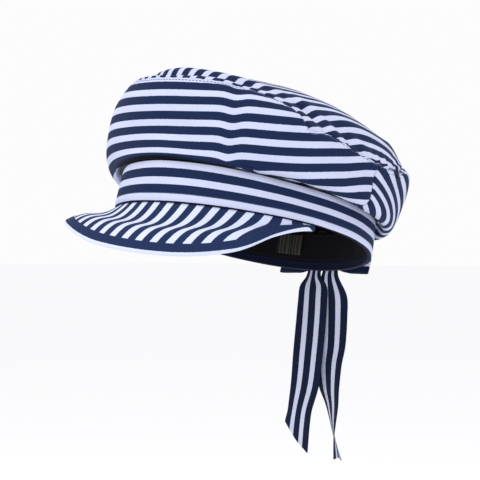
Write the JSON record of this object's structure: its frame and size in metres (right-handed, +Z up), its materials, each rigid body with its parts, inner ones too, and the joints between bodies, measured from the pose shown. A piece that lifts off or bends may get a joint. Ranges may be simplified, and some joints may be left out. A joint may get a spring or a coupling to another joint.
{
  "type": "sailor cap",
  "caption": "Soft puffed sailor cap with a striped band, a curved peak, a lined hollow crown and ribbon tails from a flat bow at the back.",
  "frame": {"origin": "centre of the head opening, in the plane of the band's lower edge", "axes": "+Z up as worn, -Y to the front where the peak is, +X to the wearer's left; the cap is tipped back 14.5 degrees about X and the ribbon tails hang along -Z"},
  "size_m": [0.2114, 0.2668, 0.2888],
  "materials": {
    "striped_cotton": "navy and pale lavender white stripes, woven cotton",
    "striped_cotton_top": "navy and pale lavender white stripes, woven cotton",
    "striped_band": "navy and pale lavender white stripes, woven cotton",
    "striped_peak": "navy and pale lavender white stripes, woven cotton",
    "peak_binding_cloth": "navy with a pale edge",
    "striped_ribbon": "navy and pale stripes, grosgrain",
    "black_lining": "matte black cotton",
    "black_sweatband": "matte black woven band",
    "navy_tape": "matte navy tape",
    "label_cloth": "plain woven label"
  },
  "bodies": {
    "root": {"crown_front": "striped_cotton", "crown_back": "striped_cotton", "crown_top": "striped_cotton_top", "crown_lining": "black_lining", "headband": "striped_band", "sweatband": "black_sweatband", "rim_tape": "navy_tape", "inner_label": "label_cloth", "peak": "striped_peak", "peak_binding": "peak_binding_cloth", "bow_loops": "striped_ribbon", "bow_knot": "striped_ribbon", "tail_left": "striped_ribbon", "tail_right": "striped_ribbon"}
  },
  "joints": []
}
